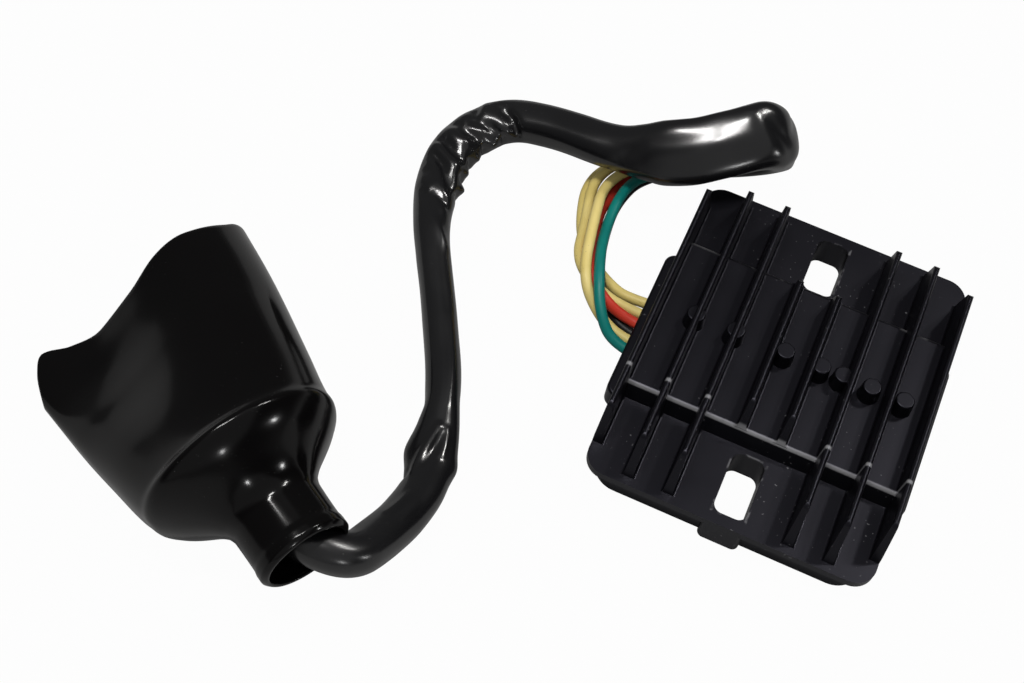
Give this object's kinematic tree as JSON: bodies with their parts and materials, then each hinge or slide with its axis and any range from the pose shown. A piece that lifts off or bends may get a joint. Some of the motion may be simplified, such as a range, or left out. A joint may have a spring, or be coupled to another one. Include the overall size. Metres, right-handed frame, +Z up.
{
  "type": "voltage regulator rectifier",
  "caption": "Finned cast voltage regulator rectifier with slotted mounting flanges, potted underside, short leads in a loose black sleeve and a plug under a moulded rubber boot.",
  "frame": {"origin": "centre of the casting's underside, which is the mounting face", "axes": "+Z up through the fins, +Y along the fins and the line of the two mounting slots, +X across the fins away from the side where the leads leave"},
  "size_m": [0.1692, 0.1504, 0.0392],
  "materials": {
    "coated_casting": "satin black coating on die-cast aluminium",
    "potting": "poured epoxy, slightly glossy",
    "pad": "matt grey silicone sheet",
    "board": "green solder mask",
    "package": "matt moulded epoxy",
    "resistor": "lacquered",
    "capacitor": "dipped resin",
    "tinned_copper": "tinned strands",
    "yellow_insulation": "smooth vinyl",
    "red_insulation": "smooth vinyl",
    "black_insulation": "smooth vinyl",
    "green_insulation": "smooth vinyl",
    "sleeve_vinyl": "glossy soft vinyl tube",
    "plug_nylon": "natural nylon",
    "brass": "stamped sheet",
    "boot_vinyl": "glossy dip-moulded vinyl"
  },
  "bodies": {
    "root": {"heatsink_casting": "coated_casting", "potting_compound": "potting", "thermal_pad": "pad", "circuit_board": "board", "thyristor_1": "package", "thyristor_2": "package", "thyristor_3": "package", "rectifier_diode_1": "package", "rectifier_diode_2": "package", "rectifier_diode_3": "package", "gate_resistor_1": "resistor", "gate_resistor_2": "resistor", "gate_resistor_3": "resistor", "sense_resistor": "resistor", "zener_diode": "package", "control_transistor": "package", "film_capacitor": "capacitor", "soldered_conductors": "tinned_copper", "yellow_lead_1": "yellow_insulation", "yellow_lead_2": "yellow_insulation", "yellow_lead_3": "yellow_insulation", "red_lead": "red_insulation", "black_lead": "black_insulation", "green_lead": "green_insulation", "wire_sleeve": "sleeve_vinyl", "lead_ends": "yellow_insulation", "connector_housing": "plug_nylon", "terminal_1": "brass", "terminal_2": "brass", "terminal_3": "brass", "terminal_4": "brass", "terminal_5": "brass", "terminal_6": "brass", "connector_boot": "boot_vinyl"}
  },
  "joints": []
}
